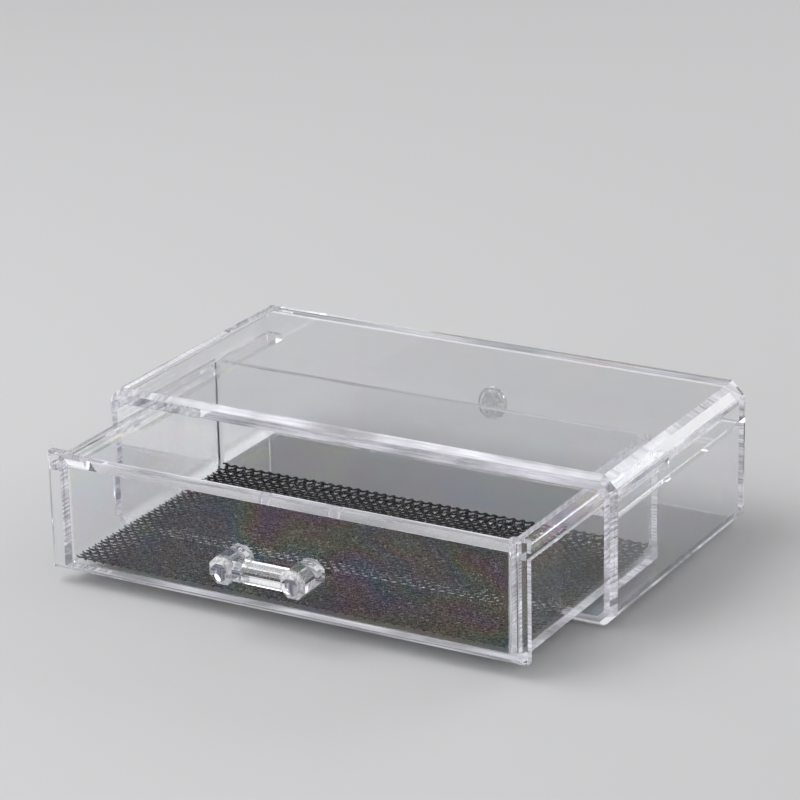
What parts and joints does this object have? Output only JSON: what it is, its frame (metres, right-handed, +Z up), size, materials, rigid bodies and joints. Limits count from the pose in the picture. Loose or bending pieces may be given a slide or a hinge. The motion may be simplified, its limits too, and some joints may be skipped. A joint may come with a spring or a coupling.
{
  "type": "cosmetics drawer organiser",
  "caption": "Clear moulded cosmetics organiser: a bevelled low case open at the front, with a hanging slide-out drawer, a faceted bar pull and a dark net liner.",
  "frame": {"origin": "centre of the case's underside", "axes": "+Z up; -Y out of the case's open front, the way the drawer pulls; +X to the right as seen from the front"},
  "size_m": [0.24, 0.2016, 0.065],
  "materials": {
    "clear_case": "clear, polished",
    "clear_drawer": "clear, polished",
    "clear_pull": "clear, polished",
    "black_net": "matt, open diamond net"
  },
  "bodies": {
    "case_body": {"case": "clear_case"},
    "drawer_body": {"drawer": "clear_drawer", "pull_handle": "clear_pull", "mesh_liner": "black_net"}
  },
  "joints": [
    {"name": "drawer_slide", "type": "slide", "parent": "case_body", "child": "drawer_body", "axis": [0, -1, 0], "range_m": [-0.059, 0.042]}
  ]
}
